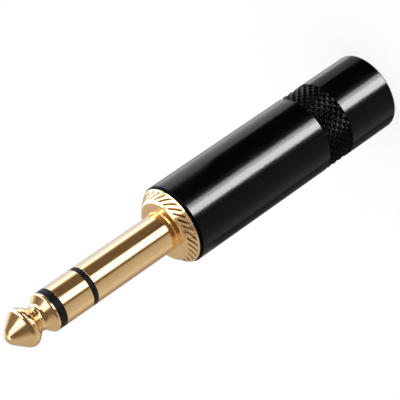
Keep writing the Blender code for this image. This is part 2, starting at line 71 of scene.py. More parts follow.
# %% [markdown]
# ## Camera
#
# The photograph looks at the plug from 29 degrees in front of its side, with a long lens, and the picture
# is turned so that the plug lies across it from lower left to upper right. A camera could be aimed by eye.
# Here its distance, lens and roll come from a least-squares fit of the plug's known diameters and edges to
# their places in the photograph, so the render can be laid over it.

# %% Camera
LENS = 189.37
DISTANCE = 317.80 * MM
LOOK_DOWN = radians(28.957)
ROLL = radians(-124.673)
TARGET = Vector((0.0, 0.0, 35.0 * MM))
TARGET_OFF_CENTRE = (6.97, 0.88)
PIXELS = 400
SENSOR = 36.0

look = Vector((0.0, cos(LOOK_DOWN), -sin(LOOK_DOWN)))
level_right = Vector((1.0, 0.0, 0.0))
level_up = level_right.cross(look)
picture_right = cos(ROLL) * level_right + sin(ROLL) * level_up
picture_up = -sin(ROLL) * level_right + cos(ROLL) * level_up
metres_per_pixel = DISTANCE * SENSOR / LENS / PIXELS
off_right, off_up = TARGET_OFF_CENTRE
aim = TARGET + (off_up * picture_up - off_right * picture_right) * metres_per_pixel

camera = bpy.data.objects.new("camera", bpy.data.cameras.new("camera"))
bpy.context.scene.collection.objects.link(camera)
camera.data.lens = LENS
camera.data.sensor_width = SENSOR
camera.data.clip_start = 0.01
camera.data.clip_end = 10.0
camera.location = TARGET - look * DISTANCE
back = (camera.location - aim).normalized()
right = (picture_right - back * picture_right.dot(back)).normalized()
up = back.cross(right)
camera.rotation_mode = "QUATERNION"
camera.rotation_quaternion = Matrix((right, up, back)).transposed().to_quaternion()
bpy.context.scene.camera = camera
bpy.context.scene.view_settings.view_transform = "Standard"
print("camera at mm", [round(v / MM, 1) for v in camera.location], "1 px is", round(metres_per_pixel / MM, 4))

# %% [markdown]
# ## Helpers for materials
#
# Colours are written as the sRGB hex values that a colour picker shows, and the renderer works in linear
# light, so one function turns one into the other. A second one adds a node, sets its values and joins its
# inputs, which keeps a material's recipe readable from top to bottom.

# %% Colour and node helpers
def linear(hex_colour):
    """sRGB hex to linear red, green, blue and an alpha of 1."""
    values = [int(hex_colour[i : i + 2], 16) / 255 for i in (1, 3, 5)]
    return (*[v / 12.92 if v <= 0.04045 else ((v + 0.055) / 1.055) ** 2.4 for v in values], 1.0)


def add(tree, kind, links=None, **settings):
    """Add a node. links maps an input's name or number to a value or to another node's output."""
    node = tree.nodes.new(kind)
    for name, value in settings.items():
        setattr(node, name, value)
    for name, value in (links or {}).items():
        if isinstance(value, bpy.types.NodeSocket):
            tree.links.new(value, node.inputs[name])
        else:
            node.inputs[name].default_value = value
    return node


def new_material(name):
    """A material, its tree and its Principled shader."""
    material = bpy.data.materials.new(name)
    material.use_nodes = True
    return material, material.node_tree, material.node_tree.nodes["Principled BSDF"]


print("middle grey #808080 is linear", round(linear("#808080")[0], 3))

# %% [markdown]
# ## Gold plate on turned brass
#
# The contacts are brass bars turned on a lathe and plated with a thin layer of gold. The plate follows
# every line that the turning tool left, so the metal is a mirror with very fine rings round the axis. The
# rings are a noise that only changes along the axis, about 12 to the millimetre, as a bump of a few
# thousandths of a millimetre. A broad noise makes the shine a little uneven, as handling does. The gold
# is painted darker and browner at the bottom of a cut, as painted shade for the dark lines that the
# grooves show. The cuts could be painted by hand. The lathe below writes each point's depth of cut into
# its mesh instead, and the painted shade follows that.

# %% Gold plate
GOLD = "#ffd497"
# Painted shade at the bottom of a cut: this darker gold, fully reached at the depth of cut in mm below.
GOLD_IN_PAINTED_SHADE = "#a9814f"
DARKEST_PAINTED_SHADE_AT = 0.12


def turning_marks(tree, per_mm, strength, depth_mm):
    """A bump of fine rings round the axis, from the height along it."""
    place = add(tree, "ShaderNodeTexCoord")
    height = add(tree, "ShaderNodeSeparateXYZ", {0: place.outputs["Object"]})
    rings = add(
        tree,
        "ShaderNodeTexNoise",
        {"W": height.outputs["Z"], "Scale": per_mm / MM, "Detail": 1.0},
        noise_dimensions="1D",
    )
    return add(
        tree,
        "ShaderNodeBump",
        {"Strength": strength, "Distance": depth_mm * MM, "Height": rings.outputs[0]},
    )


def uneven_roughness(tree, low, high, size_mm):
    """Roughness that wanders between two values in soft patches."""
    place = add(tree, "ShaderNodeTexCoord")
    patches = add(
        tree,
        "ShaderNodeTexNoise",
        {"Vector": place.outputs["Object"], "Scale": 1 / (size_mm * MM), "Detail": 3.0},
    )
    return add(
        tree,
        "ShaderNodeMapRange",
        {"Value": patches.outputs[0], "From Min": 0.3, "From Max": 0.7, "To Min": low, "To Max": high},
    )


def make_gold():
    material, tree, shader = new_material("gold_plate")
    shader.inputs["Metallic"].default_value = 1.0
    marks = turning_marks(tree, per_mm=12, strength=0.25, depth_mm=0.004)
    shine = uneven_roughness(tree, 0.09, 0.14, size_mm=3.0)
    # Painted shade: the deeper a point was cut, the more its gold is mixed towards the darker colour.
    depth = add(tree, "ShaderNodeAttribute", attribute_name="cut_mm")
    painted_shade = add(tree, "ShaderNodeMapRange", {"Value": depth.outputs["Fac"], "From Max": DARKEST_PAINTED_SHADE_AT})
    tint = add(
        tree,
        "ShaderNodeMix",
        {0: painted_shade.outputs[0], 6: linear(GOLD), 7: linear(GOLD_IN_PAINTED_SHADE)},
        data_type="RGBA",
    )
    tree.links.new(tint.outputs[2], shader.inputs["Base Color"])
    tree.links.new(marks.outputs[0], shader.inputs["Normal"])
    tree.links.new(shine.outputs[0], shader.inputs["Roughness"])
    return material


gold = make_gold()
print("gold plate is linear", [round(v, 3) for v in linear(GOLD)[:3]])

# %% [markdown]
# ## Black coat of the shell
#
# The shell is turned metal with a smooth semi-gloss black coat. To the eye it is nearly pure black with a
# slightly soft mirror on top, weak and a little warm face on, and strong along the edges. A dielectric
# with an IOR of 1.5 does the edges, and a low specular level the weak middle. The real coat's grain is
# under a tenth of a millimetre, too fine for the picture, so it is drawn 0.3 mm wide. On the knurled grip
# and the front edge the coat is duller, so they get one of their own with less gloss.

# %% Black coat
SHEEN = (1.0, 0.94, 0.85)
GRAIN_WIDTH = 0.3
GRAIN_DEPTH = 0.015


def make_black_coat(name, gloss, smoothest, roughest):
    material, tree, shader = new_material(name)
    shader.inputs["Base Color"].default_value = linear("#030303")
    shader.inputs["IOR"].default_value = 1.5
    shader.inputs["Specular IOR Level"].default_value = gloss
    shader.inputs["Specular Tint"].default_value = (*SHEEN, 1.0)
    place = add(tree, "ShaderNodeTexCoord")
    grain = add(
        tree,
        "ShaderNodeTexNoise",
        {"Vector": place.outputs["Object"], "Scale": 1 / (GRAIN_WIDTH * MM), "Detail": 2.0},
    )
    bump = add(
        tree,
        "ShaderNodeBump",
        {"Strength": 0.5, "Distance": GRAIN_DEPTH * MM, "Height": grain.outputs[0]},
    )
    shine = uneven_roughness(tree, smoothest, roughest, size_mm=4.0)
    tree.links.new(bump.outputs[0], shader.inputs["Normal"])
    tree.links.new(shine.outputs[0], shader.inputs["Roughness"])
    return material


black_coat = make_black_coat("black_coat", gloss=0.15, smoothest=0.13, roughest=0.17)
knurled_coat = make_black_coat("black_coat_knurled", gloss=0.03, smoothest=0.24, roughest=0.3)
print("coats:", black_coat.name, "and", knurled_coat.name, "with a grain of", GRAIN_WIDTH, "mm")

# %% [markdown]
# ## Black acetal of the two rings
#
# The rings that keep the contacts apart are moulded in acetal and turned flush with the shaft. That leaves
# a satin black with faint tool rings and a little cloudiness in its shine. Its IOR is 1.48, and the fine
# roughness left by the tool makes it mirror less than that, which a low specular level stands for.

# %% Acetal
def make_acetal():
    material, tree, shader = new_material("black_acetal")
    shader.inputs["Base Color"].default_value = linear("#0f0f10")
    shader.inputs["IOR"].default_value = 1.48
    shader.inputs["Specular IOR Level"].default_value = 0.2
    marks = turning_marks(tree, per_mm=9, strength=0.2, depth_mm=0.004)
    shine = uneven_roughness(tree, 0.42, 0.5, size_mm=1.0)
    tree.links.new(marks.outputs[0], shader.inputs["Normal"])
    tree.links.new(shine.outputs[0], shader.inputs["Roughness"])
    return material


acetal = make_acetal()
print(acetal.name, "is linear", [round(v, 4) for v in linear("#0f0f10")[:3]])

# %% [markdown]
# ## Natural polythene of the liner
#
# The liner is a thin moulded tube of undyed polythene, which only a take-down shows. It is milky, since
# light goes a few tenths of a millimetre into it before it turns back. Subsurface scattering does that, and
# a soft cloud between two near whites keeps it from looking like paint.

# %% Polythene
CLOUD_WIDTH = 2.0
LIGHT_DEPTH = 0.4


def make_polythene():
    material, tree, shader = new_material("natural_polythene")
    shader.inputs["IOR"].default_value = 1.51
    shader.inputs["Subsurface Weight"].default_value = 0.5
    shader.inputs["Subsurface Radius"].default_value = (1.0, 0.95, 0.85)
    shader.inputs["Subsurface Scale"].default_value = LIGHT_DEPTH * MM
    place = add(tree, "ShaderNodeTexCoord")
    cloud = add(
        tree,
        "ShaderNodeTexNoise",
        {"Vector": place.outputs["Object"], "Scale": 1 / (CLOUD_WIDTH * MM), "Detail": 2.0},
    )
    tint = add(
        tree,
        "ShaderNodeMix",
        {0: cloud.outputs[0], 6: linear("#dcdcd4"), 7: linear("#e9e9e3")},
        data_type="RGBA",
    )
    shine = uneven_roughness(tree, 0.38, 0.5, size_mm=1.5)
    tree.links.new(tint.outputs[2], shader.inputs["Base Color"])
    tree.links.new(shine.outputs[0], shader.inputs["Roughness"])
    return material


polythene = make_polythene()
print(polythene.name, "lets light in by", LIGHT_DEPTH, "mm")

# %% [markdown]
# ## Resin board of the washers
#
# The washers between the lugs are punched from brown board, which is paper pressed in resin. Its fibres
# run one way, so the noise for colour and bump is stretched to four times its width along them.

# %% Board
FIBRE_WIDTH = 0.15
FIBRE_STRETCH = 4


def make_board():
    material, tree, shader = new_material("resin_board")
    shader.inputs["IOR"].default_value = 1.55
    place = add(tree, "ShaderNodeTexCoord")
    stretched = add(
        tree,
        "ShaderNodeMapping",
        {"Vector": place.outputs["Object"], "Scale": (1 / FIBRE_STRETCH, 1.0, 1.0)},
    )
    fibres = add(
        tree,
        "ShaderNodeTexNoise",
        {"Vector": stretched.outputs[0], "Scale": 1 / (FIBRE_WIDTH * MM), "Detail": 4.0},
    )
    tint = add(
        tree,
        "ShaderNodeMix",
        {0: fibres.outputs[0], 6: linear("#5a3720"), 7: linear("#8a5a36")},
        data_type="RGBA",
    )
    bump = add(
        tree,
        "ShaderNodeBump",
        {"Strength": 0.3, "Distance": 0.01 * MM, "Height": fibres.outputs[0]},
    )
    tree.links.new(tint.outputs[2], shader.inputs["Base Color"])
    tree.links.new(bump.outputs[0], shader.inputs["Normal"])
    shader.inputs["Roughness"].default_value = 0.5
    return material


board = make_board()
print(board.name, "has fibres", FIBRE_WIDTH, "mm wide and", FIBRE_WIDTH * FIBRE_STRETCH, "mm long")

# %% [markdown]
# ## Tin plate of the lugs and the clamp
#
# The soldered pieces are punched from sheet brass and tinned. Tin sets in small crystals that each shine a
# little differently, about a third of a millimetre across, so a Voronoi pattern drives roughness and bump.

# %% Tin
CRYSTAL_WIDTH = 0.35


def make_tin():
    material, tree, shader = new_material("tin_plate")
    shader.inputs["Base Color"].default_value = linear("#cfccc4")
    shader.inputs["Metallic"].default_value = 1.0
    place = add(tree, "ShaderNodeTexCoord")
    crystals = add(
        tree,
        "ShaderNodeTexVoronoi",
        {"Vector": place.outputs["Object"], "Scale": 1 / (CRYSTAL_WIDTH * MM)},
    )
    shine = add(
        tree,
        "ShaderNodeMapRange",
        {"Value": crystals.outputs["Distance"], "From Max": 0.8, "To Min": 0.24, "To Max": 0.38},
    )
    bump = add(
        tree,
        "ShaderNodeBump",
        {"Strength": 0.1, "Distance": 0.01 * MM, "Height": crystals.outputs["Distance"]},
    )
    tree.links.new(shine.outputs[0], shader.inputs["Roughness"])
    tree.links.new(bump.outputs[0], shader.inputs["Normal"])
    return material


tin = make_tin()
print(tin.name, "has crystals of", CRYSTAL_WIDTH, "mm")

# %% [markdown]
# ## Heights and radii
#
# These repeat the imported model's seats in millimetres. They are the sizes that several pieces share, so
# they stand together here, and each later cell adds what its own piece needs. The rod, the tubes and the
# sleeve's bore sit one inside the other, each 0.03 mm clear of the next.

# %% Shared sizes
SHELL_LENGTH = 42.2
SHELL_RADIUS = 6.5
SHELL_BORE = 5.499
SHAFT_RADIUS = 3.175
FACE_Z = 44.1
SLEEVE_TOP = 59.75
RING_BOTTOM = 60.65
RING_TOP = 65.70
TIP_BOTTOM = 66.98
NOSE = 74.62
NECK_END = 34.0
LUG_SEAT = 32.70
STAKED_END = 32.45
ROD_END = 30.55
ROD = 0.85
SLEEVE_BORE = 2.23
CONTACT_COLUMNS = 192

for node, low, high in [("tip_contact", ROD_END, NOSE), ("ring_contact", STAKED_END, RING_TOP)]:
    lowest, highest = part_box(node)
    print(node, "in the packed model", round(lowest.z / MM, 2), round(highest.z / MM, 2), "here", low, high)

# %% [markdown]
# ## Outlines with real edges
#
# Every contact is a turned form: an outline of (radius, height) points carried round the axis. An
# outline's sharp corners are first rounded by a real edge break of 0.05 mm, because an edge without one
# has no highlight and looks cut from paper. Smooth shading would let a fillet tilt the flats beside it,
# and a mirror shows that at once, so each fillet gets one more point just beyond both of its ends.

# %% Outlines
EDGE = 0.05
SUPPORT = 0.02
FILLET_FINENESS = 9
NEARLY_STRAIGHT = radians(89)


def rounded(corners, default=EDGE, steps=3, **special):
    """An outline whose inner corners have fillets. special gives a corner's own radius as r<number>."""
    points = [Vector(corners[0])]
    for number in range(1, len(corners) - 1):
        fillet = special.get("r%d" % number, default)
        before, corner, after = (Vector(corners[number + k]) for k in (-1, 0, 1))
        back, ahead = (before - corner).normalized(), (after - corner).normalized()
        half = acos(max(-1.0, min(1.0, back.dot(ahead)))) / 2
        if fillet == 0 or half > NEARLY_STRAIGHT:
            points.append(corner)
            continue
        start, end = corner + back * (fillet / tan(half)), corner + ahead * (fillet / tan(half))
        centre = corner + (back + ahead).normalized() * (fillet / sin(half))
        first = atan2(start.y - centre.y, start.x - centre.x)
        sweep = (atan2(end.y - centre.y, end.x - centre.x) - first + pi) % (2 * pi) - pi
        count = max(steps, int(abs(sweep) * sqrt(fillet) * FILLET_FINENESS))
        points.append(start + back * SUPPORT)
        points += [
            centre + fillet * Vector((cos(first + sweep * s / count), sin(first + sweep * s / count)))
            for s in range(count + 1)
        ]
        points.append(end + ahead * SUPPORT)
    return [tuple(p) for p in points + [Vector(corners[-1])]]


def straight(start, end, rows):
    """The points after start on a straight stretch of outline that is cut into rows."""
    return [tuple(a + (b - a) * s / rows for a, b in zip(start, end)) for s in range(1, rows + 1)]


print("a square corner gets", len(rounded([(0, 0), (1, 0), (1, 1)])) - 2, "points")

# %% [markdown]
# ## Turning a piece
#
# A modifier could spin the outline round the axis. The lathe below makes the same surface as a grid of its
# own, so a later cell can sink teeth or a thread into it by moving points in or out, and it keeps how far
# each point was sunk, for the painted shade in the gold's cuts.

# %% Lathe
ON_THE_AXIS = 1e-6


def lathe(name, outline, columns, closed=True, shape=None, sharp=30.0):
    """Carry an outline in mm round Z. shape(column, radius, height) may return a new (angle, radius)."""
    mesh = bpy.data.meshes.new(name)
    form = bmesh.new()
    cut = form.verts.layers.float.new("cut_mm")
    rows = []
    for radius, height in outline:
        if radius < ON_THE_AXIS:
            rows.append([form.verts.new((0.0, 0.0, height * MM))])
            continue
        ring = []
        for column in range(columns):
            angle, out = 2 * pi * column / columns, radius
            if shape:
                angle, out = shape(column, radius, height)
            point = form.verts.new((out * cos(angle) * MM, out * sin(angle) * MM, height * MM))
            point[cut] = abs(radius - out)
            ring.append(point)
        rows.append(ring)
    if closed:
        rows.append(rows[0])
    for upper, lower in zip(rows, rows[1:]):
        for c in range(columns):
            d = (c + 1) % columns
            corners = (
                upper[c % len(upper)],
                lower[c % len(lower)],
                lower[d % len(lower)],
                upper[d % len(upper)],
            )
            unique = list(dict.fromkeys(corners))
            if len(unique) > 2:
                form.faces.new(unique)
    form.to_mesh(mesh)
    form.free()
    piece = bpy.data.objects.new(name, mesh)
    bpy.context.scene.collection.objects.link(piece)
    mesh.shade_smooth()
    mesh.set_sharp_from_angle(angle=radians(sharp))
    return piece


def dress(piece, material, body, slot, *nodes):
    """Give a piece its finish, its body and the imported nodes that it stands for."""
    piece.data.materials.append(material)
    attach(piece, body)
    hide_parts(*nodes)
    triangles = sum(len(face.vertices) - 2 for face in piece.data.polygons)
    print(piece.name, triangles, "triangles")


# %% [markdown]
# ## Tip
#
# The tip is one turned piece: a small round nose, a cone, a rounded crest that the socket's spring rides
# over, a groove that the spring drops into, and a flare back up to the shaft. Behind it a thin rod runs
# through the whole plug to its solder lug, where its end is riveted over. One outline holds all of that.

# %% Tip
NOSE_RADIUS = 1.7
NOSE_STEPS = 8
CONE = radians(39.0)
CREST = 3.55
CREST_ROUND = 1.25
GROOVE = 1.545
GROOVE_ROUND = 1.2
GROOVE_RISE = 1.63
LAND = 0.4
SHOULDER_ROUND = 0.5
RIVETED_END = [(1.45, 31.15), (1.23, 30.79), (0.72, ROD_END), (0.0, ROD_END)]


def tip_outline():
    centre = NOSE - NOSE_RADIUS
    nose = [(0.0, NOSE)]
    for s in range(1, NOSE_STEPS):
        turn = (pi / 2 - CONE) * s / NOSE_STEPS
        nose.append((NOSE_RADIUS * sin(turn), centre + NOSE_RADIUS * cos(turn)))
    cone_start = Vector((NOSE_RADIUS * cos(CONE), centre + NOSE_RADIUS * sin(CONE)))
    crest_height = cone_start.y - (CREST - cone_start.x) / tan(CONE)
    nose.append(tuple(cone_start))
    head = rounded(
        [
            cone_start + SUPPORT * Vector((sin(CONE), -cos(CONE))),
            (CREST, crest_height),
            (GROOVE, TIP_BOTTOM + LAND + GROOVE_RISE),
            (SHAFT_RADIUS, TIP_BOTTOM + LAND),
            (SHAFT_RADIUS, TIP_BOTTOM),
            (ROD, TIP_BOTTOM),
            (ROD, RIVETED_END[0][1]),
            *RIVETED_END,
        ],
        r1=CREST_ROUND,
        r2=GROOVE_ROUND,
        r3=SHOULDER_ROUND,
        r5=0.0,
        r6=0.0,
    )
    return nose + head


tip = lathe("tip_gold", tip_outline(), CONTACT_COLUMNS, closed=False)
dress(tip, gold, "plug", "gold_plate", "tip_contact")

# %% [markdown]
# ## Black rings and the gold ring
#
# Between the contacts sit two black rings, each the flange of a thin tube, and between them the short gold
# ring on its own tube. They are ground flush with the shaft, so only a hairline shows where two meet. The
# gold ring's tube ends in a lip that is staked over its solder lug.

# %% Rings
TIP_TUBE, TIP_TUBE_BORE = 1.25, 0.88
RING_TUBE, RING_TUBE_BORE = 1.75, 1.28
REAR_TUBE, REAR_TUBE_BORE = 2.20, 1.78
RING_LIP = [(2.15, LUG_SEAT), (2.05, STAKED_END)]


def flanged_tube(top, foot, tube_radius, bore, tube_end, lip=()):
    """The outline of a ring on the shaft with a thin tube behind it, and a staked lip at the tube's end."""
    return rounded(
        [
            (bore, top),
            (SHAFT_RADIUS, top),
            (SHAFT_RADIUS, foot),
            (tube_radius, foot),
            (tube_radius, tube_end),
            *lip,
            (bore, lip[-1][1] if lip else tube_end),
        ],
        r3=0.0,
        r4=0.0,
    )


tip_ring_outline = flanged_tube(TIP_BOTTOM, RING_TOP, TIP_TUBE, TIP_TUBE_BORE, STAKED_END)
tip_ring = lathe("tip_black_ring", tip_ring_outline, CONTACT_COLUMNS)
dress(tip_ring, acetal, "plug", "black_insulator", "tip_insulator")
ring_outline = flanged_tube(RING_TOP, RING_BOTTOM, RING_TUBE, RING_TUBE_BORE, LUG_SEAT, RING_LIP)
ring = lathe("gold_ring", ring_outline, CONTACT_COLUMNS)
dress(ring, gold, "plug", "gold_plate", "ring_contact")
sleeve_ring_outline = flanged_tube(RING_BOTTOM, SLEEVE_TOP, REAR_TUBE, REAR_TUBE_BORE, NECK_END)
sleeve_ring = lathe("sleeve_black_ring", sleeve_ring_outline, CONTACT_COLUMNS)
dress(sleeve_ring, acetal, "plug", "black_insulator", "ring_insulator")

# %% [markdown]
# ## Sleeve: shaft, knurled collar and thread
#
# The longest contact is turned from one bar. From the front: the shaft, a small fillet at its foot, a flat
# face, a cone with 30 slanting teeth rolled into it, the seat for the shell, the thread, a boss, and a
# neck whose lip is staked over the clamp. Teeth could be cut by a boolean with 30 cutters. Here they are
# sunk into the lathe's grid, whose columns wind round the cone with them, so that every groove runs along
# the grid and stays crisp.

# %% Sleeve: sizes and outline
FOOT_FILLET = 0.2
FACE_FILLET = 0.25
FACE_RADIUS = 4.8
CONE_RADIUS = 5.15
RIM_RADIUS = 6.25
SEAT_RADIUS = 6.05
COLLAR_TOP = 43.75
COLLAR_RIM = 42.45
CONE_ROWS = 30
RELIEF_RADIUS = 4.949
RELIEF_END = 41.6
THREAD_RADIUS = 5.449
THREAD_TOP = 41.3
THREAD_FOOT = 36.9
THREAD_ROWS = 76
BOSS_AND_NECK = [
    (5.149, 36.6),
    (3.57, 36.6),
    (3.57, 35.1),
    (2.884, 35.1),
    (2.884, 34.3),
    (3.341, 34.3),
    (3.241, NECK_END),
    (SLEEVE_BORE, NECK_END),
]


def sleeve_outline():
    """The outline's points, with rows close enough for the teeth and the thread."""
    front = rounded(
        [
            (SLEEVE_BORE, SLEEVE_TOP),
            (SHAFT_RADIUS, SLEEVE_TOP),
            (SHAFT_RADIUS, FACE_Z),
            (FACE_RADIUS, FACE_Z),
            (CONE_RADIUS, COLLAR_TOP),
            (RIM_RADIUS, COLLAR_RIM),
        ],
        r2=FOOT_FILLET,
        r3=FACE_FILLET,
        r4=FACE_FILLET,
    )
    cone = straight((CONE_RADIUS, COLLAR_TOP), (RIM_RADIUS, COLLAR_RIM), CONE_ROWS)
    seat = rounded(
        [
            (RIM_RADIUS, COLLAR_RIM),
            (SEAT_RADIUS, SHELL_LENGTH),
            (RELIEF_RADIUS, SHELL_LENGTH),
            (RELIEF_RADIUS, RELIEF_END),
            (THREAD_RADIUS, THREAD_TOP),
        ]
    )
    thread = straight((THREAD_RADIUS, THREAD_TOP), (THREAD_RADIUS, THREAD_FOOT), THREAD_ROWS)
    rear = rounded([(THREAD_RADIUS, THREAD_FOOT), *BOSS_AND_NECK], r5=0.0)
    return front[:-1] + cone[:-1] + seat[:-1] + thread + rear[1:]


print("the sleeve's outline has", len(sleeve_outline()), "points")

# %% [markdown]
# ## Cutting the teeth and the thread
#
# A tooth's groove has a steep wall and a gentle one, as a slanting knurling wheel leaves it, and it runs
# out before the face and the rim. The thread is a V cut by the height of each point on a helix of
# 0.75 mm pitch, which is one turn of the plug for each 0.75 mm that it rises.

# %% Sleeve: teeth and thread
TEETH = 30
COLUMNS_PER_TOOTH = 16
SLEEVE_COLUMNS = TEETH * COLUMNS_PER_TOOTH
TOOTH_DEPTH = 0.2
TOOTH_SECTION = {-5: 0.08, -4: 0.28, -3: 0.48, -2: 0.68, -1: 0.88, 0: 1.0, 1: 0.45}
TOOTH_START, TOOTH_RISE, TOOTH_FALL = 0.13, 0.09, 0.07
LEAD = radians(22.0)
OUTSIDE_THE_BORE = 2.5

THREAD_PITCH = 0.75
THREAD_DEPTH = 0.36
THREAD_CUT = (36.8, 41.35)
THREAD_ZONE = (5.2, 41.4)
FLANK_STEEPNESS = 1.25
CREST_FLAT = 0.12
THREAD_RUN_OUT = 0.3


def up_to_one(value):
    return min(1.0, max(0.0, value))


def helix_depth(angle, height, start, end):
    """How deep a V thread is cut at a place, from 0 on its crest to 1 in its root, fading at both ends."""
    turn = (height / THREAD_PITCH - angle / (2 * pi)) % 1.0
    cut = up_to_one((0.5 - abs(turn - 0.5)) * 2 * FLANK_STEEPNESS - CREST_FLAT)
    return cut * up_to_one((height - start) / THREAD_RUN_OUT) * up_to_one((end - height) / THREAD_RUN_OUT)


def sleeve_shape(column, radius, height):
    angle, out = 2 * pi * column / SLEEVE_COLUMNS, radius
    share = up_to_one((height - COLLAR_RIM) / (COLLAR_TOP - COLLAR_RIM))
    if radius > OUTSIDE_THE_BORE:
        if 0.0 < share < 1.0:
            offset = (column + COLUMNS_PER_TOOTH // 2) % COLUMNS_PER_TOOTH - COLUMNS_PER_TOOTH // 2
            run_out = up_to_one(min((share - TOOTH_START) / TOOTH_RISE, (1.0 - share) / TOOTH_FALL))
            out -= TOOTH_DEPTH * TOOTH_SECTION.get(offset, 0.0) * run_out
        angle += LEAD * share
    if radius > THREAD_ZONE[0] and height < THREAD_ZONE[1]:
        out -= THREAD_DEPTH * helix_depth(angle, height, *THREAD_CUT)
    return angle, out


sleeve = lathe("sleeve_gold", sleeve_outline(), SLEEVE_COLUMNS, shape=sleeve_shape, sharp=35.0)
dress(sleeve, gold, "plug", "gold_plate", "sleeve_body")

# %% [markdown]
# ## Shell
#
# The shell is a turned tube with a band of diamond knurling near its rear end, where fingers grip it to
# unscrew it. A knurling tool rolls two sets of grooves at 45 degrees, 33 diamonds round. The grid's cells
# are square on the surface, so both sets of grooves run along its diagonals, and each cell is then cut
# along the diagonal that is most nearly level, which keeps both sets equally crisp. Inside, the front has
# the thread that takes the sleeve's, half a pitch further on, so that crest stands in groove.

# %% Shell: sizes and outline
ENTRY_RADIUS = 5.699
FRONT_RADIUS = 6.22
FRONT_CHAMFER_END = 41.92
SHELL_EDGE = 0.06
REAR_ROUND = 0.3
HOLE_RADIUS = 3.75
HOLE_CHAMFER = 0.3
REAR_WALL = 1.6
BORE_THREAD_START = 35.5
BORE_THREAD_TOP = 42.0
BORE_ROWS = 60
DIAMONDS = 33
CELLS_PER_DIAMOND = 12
SHELL_COLUMNS = DIAMONDS * CELLS_PER_DIAMOND
CELL = 2 * pi * SHELL_RADIUS / SHELL_COLUMNS
GRIP_BOTTOM = 9.73
GRIP_TOP = 14.85
GRIP_ROWS = round((GRIP_TOP - GRIP_BOTTOM) / CELL)
GRIP_MARGIN = 0.03


def shell_outline():
    """The outline's points from the front edge down the outside and back up the bore."""
    grip_top, grip_bottom = (SHELL_RADIUS, GRIP_TOP), (SHELL_RADIUS, GRIP_BOTTOM)
    grip = [grip_top] + straight(grip_top, grip_bottom, GRIP_ROWS)
    front = rounded(
        [
            (ENTRY_RADIUS, SHELL_LENGTH),
            (FRONT_RADIUS, SHELL_LENGTH),
            (SHELL_RADIUS, FRONT_CHAMFER_END),
            grip_top,
        ],
        default=SHELL_EDGE,
    )
    front.insert(-1, (SHELL_RADIUS, GRIP_TOP + GRIP_MARGIN))
    rear = rounded(
        [
            grip_bottom,
            (SHELL_RADIUS, 0.0),
            (HOLE_RADIUS + HOLE_CHAMFER, 0.0),
            (HOLE_RADIUS, HOLE_CHAMFER),
            (HOLE_RADIUS, REAR_WALL),
            (SHELL_BORE, REAR_WALL),
            (SHELL_BORE, BORE_THREAD_START),
        ],
        r1=REAR_ROUND,
        r5=0.0,
    )
    rear.insert(1, (SHELL_RADIUS, GRIP_BOTTOM - GRIP_MARGIN))
    bore = straight((SHELL_BORE, BORE_THREAD_START), (SHELL_BORE, BORE_THREAD_TOP), BORE_ROWS)
    return front[:-1] + grip + rear[1:] + bore


print("knurl cell", round(CELL, 4), "mm,", GRIP_ROWS, "rows")

# %% [markdown]
# ## Cutting the knurling
#
# Each place on the grip is cut by the nearest groove of each set, and the deeper of the two cuts counts.
# The crests are left a little round, as the coat leaves them. The grip and the front edge then take the
# duller coat.

# %% Shell: knurling and thread
KNURL_DEPTH = 0.25
CREST_ROUNDING = 0.08
GRIP_RUN_OUT = 0.12
SHELL_THREAD_DEPTH = 0.3
SHELL_THREAD_CUT = (36.0, 42.3)
GRIP_SKIN = 6.4
INSIDE_THE_WALL = 6.0
BORE_MATCH = 0.001
DULL_FROM_RADIUS = 5.7
DULL_FROM_HEIGHT = 41.93
SHELL_SHARP = 35.0


def groove_distance(u):
    """Distance from the nearest groove in shares of a diamond, 0 in the groove and 0.5 on the crest."""
    return abs(u - floor(u + 0.5))


def knurl(column, height):
    """How deep the knurling is at a place: the deeper of its two sets of grooves."""
    around = column / CELLS_PER_DIAMOND
    along = (GRIP_TOP - height) / (CELL * CELLS_PER_DIAMOND)
    flank = 1.0 - 2 * min(groove_distance(around + along), groove_distance(around - along))
    flank = sqrt(flank**2 + CREST_ROUNDING**2) - CREST_ROUNDING
    return KNURL_DEPTH * flank * up_to_one(min(GRIP_TOP - height, height - GRIP_BOTTOM) / GRIP_RUN_OUT)


def shell_shape(column, radius, height):
    angle, out = 2 * pi * column / SHELL_COLUMNS, radius
    if radius > GRIP_SKIN and GRIP_BOTTOM < height < GRIP_TOP:
        out -= knurl(column, height)
    if abs(radius - SHELL_BORE) < BORE_MATCH and height > BORE_THREAD_START:
        out += SHELL_THREAD_DEPTH * helix_depth(angle, height + THREAD_PITCH / 2, *SHELL_THREAD_CUT)
    return angle, out


def split_level(piece):
    """Cut each quad of the knurling along the diagonal whose ends differ least in radius."""
    form = bmesh.new()
    form.from_mesh(piece.data)
    for face in list(form.faces):
        points = [v.co for v in face.verts]
        middle = sum((p for p in points), Vector()) / len(points)
        on_grip = GRIP_BOTTOM * MM < middle.z < GRIP_TOP * MM and middle.xy.length > INSIDE_THE_WALL * MM
        if len(points) == 4 and on_grip:
            reach = [p.xy.length for p in points]
            first = 0 if abs(reach[0] - reach[2]) < abs(reach[1] - reach[3]) else 1
            bmesh.utils.face_split(face, face.verts[first], face.verts[first + 2])
    form.to_mesh(piece.data)
    form.free()
    piece.data.shade_smooth()
    piece.data.set_sharp_from_angle(angle=radians(SHELL_SHARP))


shell = lathe("black_shell", shell_outline(), SHELL_COLUMNS, shape=shell_shape)
split_level(shell)
dress(shell, black_coat, "shell", "black_shell", "shell")
shell.data.materials.append(knurled_coat)
for face in shell.data.polygons:
    height, radius = face.center.z / MM, face.center.xy.length / MM
    if radius > DULL_FROM_RADIUS and (GRIP_BOTTOM < height < GRIP_TOP or height > DULL_FROM_HEIGHT):
        face.material_index = 1

# %% [markdown]
# ## Pieces that keep their packed form
#
# The liner, clamp, washers and lugs are hidden once the plug is screwed together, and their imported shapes
# are right. They keep them and get their real finish in place of the plain one.

